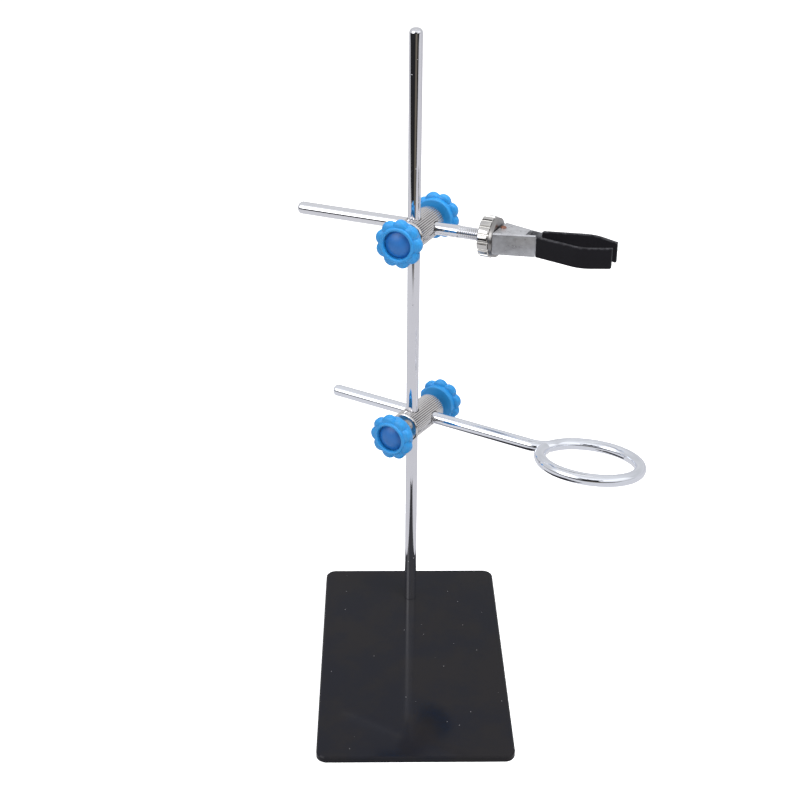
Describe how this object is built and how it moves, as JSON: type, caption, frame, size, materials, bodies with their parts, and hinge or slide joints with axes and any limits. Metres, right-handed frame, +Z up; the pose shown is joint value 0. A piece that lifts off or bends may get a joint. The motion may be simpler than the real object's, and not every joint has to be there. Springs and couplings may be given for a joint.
{
  "type": "retort stand with clamp and ring",
  "caption": "Small laboratory retort stand: plate base, upright rod, boss heads with petal knobs, a two-jaw clamp on one arm and a support ring on the other.",
  "frame": {"origin": "middle of the base plate's underside, on the table", "axes": "+Z up along the upright rod, +Y towards the plate edge that the rod stands near, +X to the side that both arms work on; metres"},
  "size_m": [0.1652, 0.164, 0.3],
  "materials": {
    "black_gloss": "black gloss stove enamel",
    "chrome": "bright chrome plated rod",
    "nickel": "nickel plated turned metal",
    "blue_plastic": "moulded blue plastic, satin gloss",
    "zinc_sheet": "bright zinc plated folded sheet",
    "copper_rivet": "copper coloured rivet",
    "black_sleeve": "satin black soft sleeve"
  },
  "bodies": {
    "base": {"base_plate": "black_gloss"},
    "upright": {"upright_rod": "chrome"},
    "upper_boss": {"upper_barrel": "nickel"},
    "lower_boss": {"lower_barrel": "nickel"},
    "upper_rod_screw": {"upper_rod_screw": "nickel"},
    "upper_arm_screw": {"upper_arm_screw": "nickel"},
    "lower_rod_screw": {"lower_rod_screw": "nickel"},
    "lower_arm_screw": {"lower_arm_screw": "nickel"},
    "upper_rod_knob": {"upper_rod_knob": "blue_plastic"},
    "upper_arm_knob": {"upper_arm_knob": "blue_plastic"},
    "lower_rod_knob": {"lower_rod_knob": "blue_plastic"},
    "lower_arm_knob": {"lower_arm_knob": "blue_plastic"},
    "clamp": {"clamp_arm": "chrome", "jaw_rivet": "copper_rivet"},
    "collar": {"push_collar": "zinc_sheet"},
    "nut": {"clamp_nut": "nickel"},
    "near_jaw": {"near_jaw": "zinc_sheet", "near_sleeve": "black_sleeve"},
    "far_jaw": {"far_jaw": "zinc_sheet", "far_sleeve": "black_sleeve"},
    "ring": {"ring_arm": "chrome"}
  },
  "joints": [
    {"name": "stand_rod_turn", "type": "hinge", "parent": "base", "child": "upright", "pos_m": [0, 0.05, 0.0015], "axis": [0, 0, 1], "range_deg": [-180, 180]},
    {"name": "upper_boss_height", "type": "slide", "parent": "upright", "child": "upper_boss", "axis": [0, 0, 1], "range_m": [-0.05, 0.08]},
    {"name": "lower_boss_height", "type": "slide", "parent": "upright", "child": "lower_boss", "axis": [0, 0, 1], "range_m": [-0.085, 0.02]},
    {"name": "upper_rod_screw_travel", "type": "slide", "parent": "upper_boss", "child": "upper_rod_screw", "axis": [-0.4226, -0.9063, 0], "range_m": [0, 0.00294]},
    {"name": "upper_rod_knob_turn", "type": "hinge", "parent": "upper_rod_screw", "child": "upper_rod_knob", "pos_m": [-0.0052, 0.03885, 0.2065], "axis": [-0.4226, -0.9063, 0], "range_deg": [0, 1060]},
    {"name": "upper_arm_screw_travel", "type": "slide", "parent": "upper_boss", "child": "upper_arm_screw", "axis": [0.4226, 0.9063, 0], "range_m": [0, 0.00294]},
    {"name": "upper_arm_knob_turn", "type": "hinge", "parent": "upper_arm_screw", "child": "upper_arm_knob", "pos_m": [0.00951, 0.07039, 0.2065], "axis": [0.4226, 0.9063, 0], "range_deg": [0, 1060]},
    {"name": "lower_rod_screw_travel", "type": "slide", "parent": "lower_boss", "child": "lower_rod_screw", "axis": [-0.5373, -0.8434, 0], "range_m": [0, 0.00294]},
    {"name": "lower_rod_knob_turn", "type": "hinge", "parent": "lower_rod_screw", "child": "lower_rod_knob", "pos_m": [-0.00752, 0.03819, 0.1075], "axis": [-0.5373, -0.8434, 0], "range_deg": [0, 1060]},
    {"name": "lower_arm_screw_travel", "type": "slide", "parent": "lower_boss", "child": "lower_arm_screw", "axis": [0.5373, 0.8434, 0], "range_m": [0, 0.00294]},
    {"name": "lower_arm_knob_turn", "type": "hinge", "parent": "lower_arm_screw", "child": "lower_arm_knob", "pos_m": [0.01263, 0.06982, 0.1075], "axis": [0.5373, 0.8434, 0], "range_deg": [0, 1060]},
    {"name": "clamp_arm_reach", "type": "slide", "parent": "upper_boss", "child": "clamp", "axis": [0.9063, -0.4226, 0], "range_m": [-0.02, 0.045]},
    {"name": "ring_arm_reach", "type": "slide", "parent": "lower_boss", "child": "ring", "axis": [0.8434, -0.5373, 0], "range_m": [-0.04, 0.035]},
    {"name": "collar_travel", "type": "slide", "parent": "clamp", "child": "collar", "axis": [0.9063, -0.4226, 0], "range_m": [-0.003, 0.00033]},
    {"name": "nut_turn", "type": "hinge", "parent": "collar", "child": "nut", "pos_m": [0.03413, 0.04512, 0.2065], "axis": [0.9063, -0.4226, 0], "range_deg": [-1080, 120]},
    {"name": "near_jaw_swing", "type": "hinge", "parent": "clamp", "child": "near_jaw", "pos_m": [0.04066, 0.04207, 0.2065], "axis": [0, 0, -1], "range_deg": [-2.2, 18.2]},
    {"name": "far_jaw_swing", "type": "hinge", "parent": "clamp", "child": "far_jaw", "pos_m": [0.04066, 0.04207, 0.2065], "axis": [0, 0, 1], "range_deg": [-2.2, 18.2]}
  ],
  "couplings": [
    {"joint": "upper_rod_knob_turn", "follows": "upper_rod_screw_travel", "rad_per_m": 6283.2},
    {"joint": "upper_arm_knob_turn", "follows": "upper_arm_screw_travel", "rad_per_m": 6283.2},
    {"joint": "lower_rod_knob_turn", "follows": "lower_rod_screw_travel", "rad_per_m": 6283.2},
    {"joint": "lower_arm_knob_turn", "follows": "lower_arm_screw_travel", "rad_per_m": 6283.2},
    {"joint": "nut_turn", "follows": "collar_travel", "rad_per_m": 6283.2},
    {"joint": "near_jaw_swing", "follows": "collar_travel", "rad_per_m": -104.17},
    {"joint": "far_jaw_swing", "follows": "collar_travel", "rad_per_m": -104.17}
  ]
}
